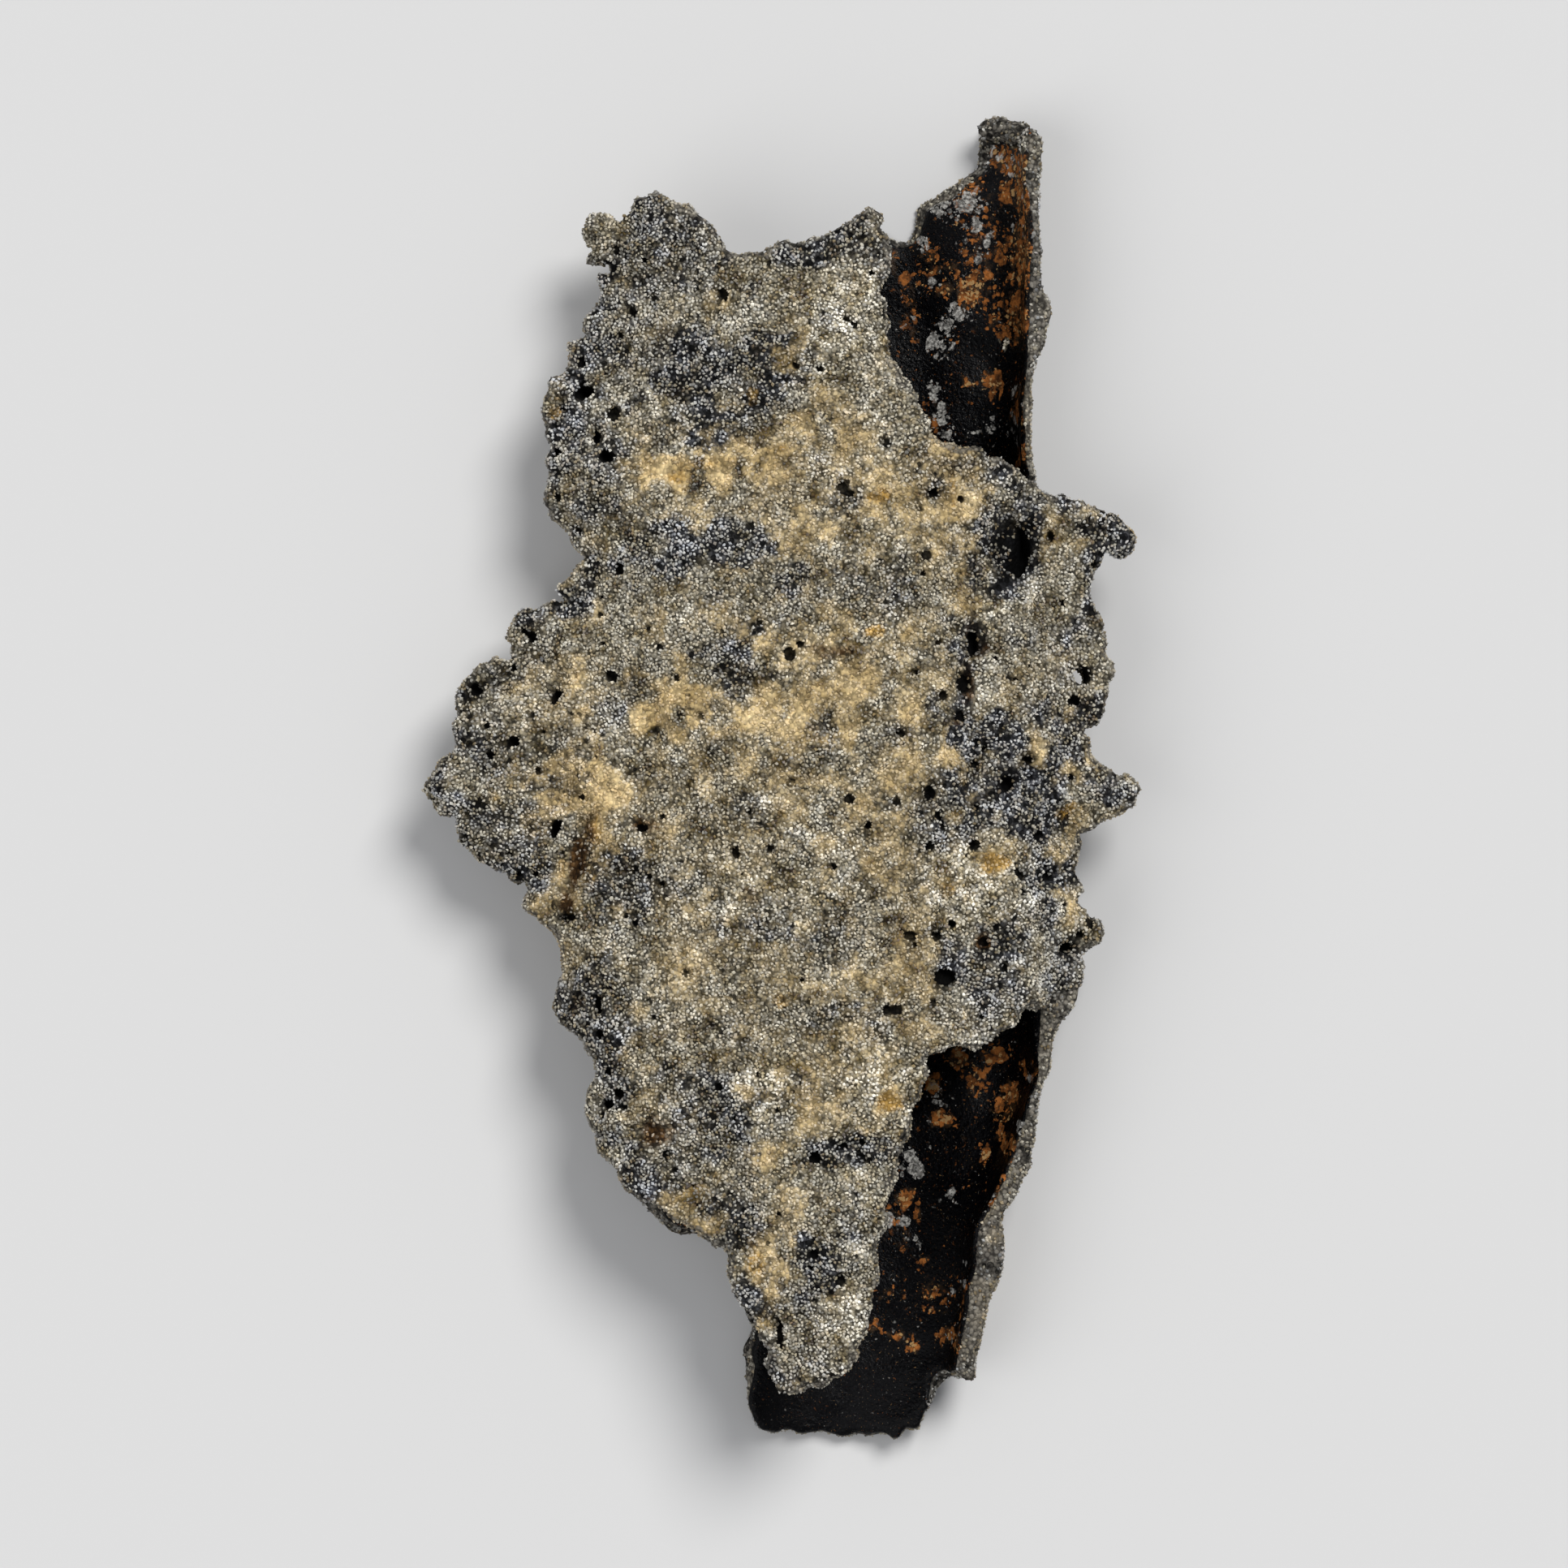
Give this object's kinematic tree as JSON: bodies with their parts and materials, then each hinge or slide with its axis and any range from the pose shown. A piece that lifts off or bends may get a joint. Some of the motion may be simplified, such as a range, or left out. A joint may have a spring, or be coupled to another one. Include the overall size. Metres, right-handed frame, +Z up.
{
  "type": "fulgurite",
  "caption": "Broken length of sand fulgurite: a flattened hollow tube of fused sand with a ragged side wing, spikes and a dark glassy bore, lying on its back.",
  "frame": {"origin": "middle of the footprint's bounding rectangle, on the surface it rests on", "axes": "+Y along the tube towards the end with the longer broken tongue of back wall, +X towards the side with the spikes, +Z up, out of the front wall"},
  "size_m": [0.0313, 0.0572, 0.0089],
  "materials": {
    "fused_sand": "rough"
  },
  "bodies": {
    "root": {"fulgurite_tube": "fused_sand"}
  },
  "joints": []
}
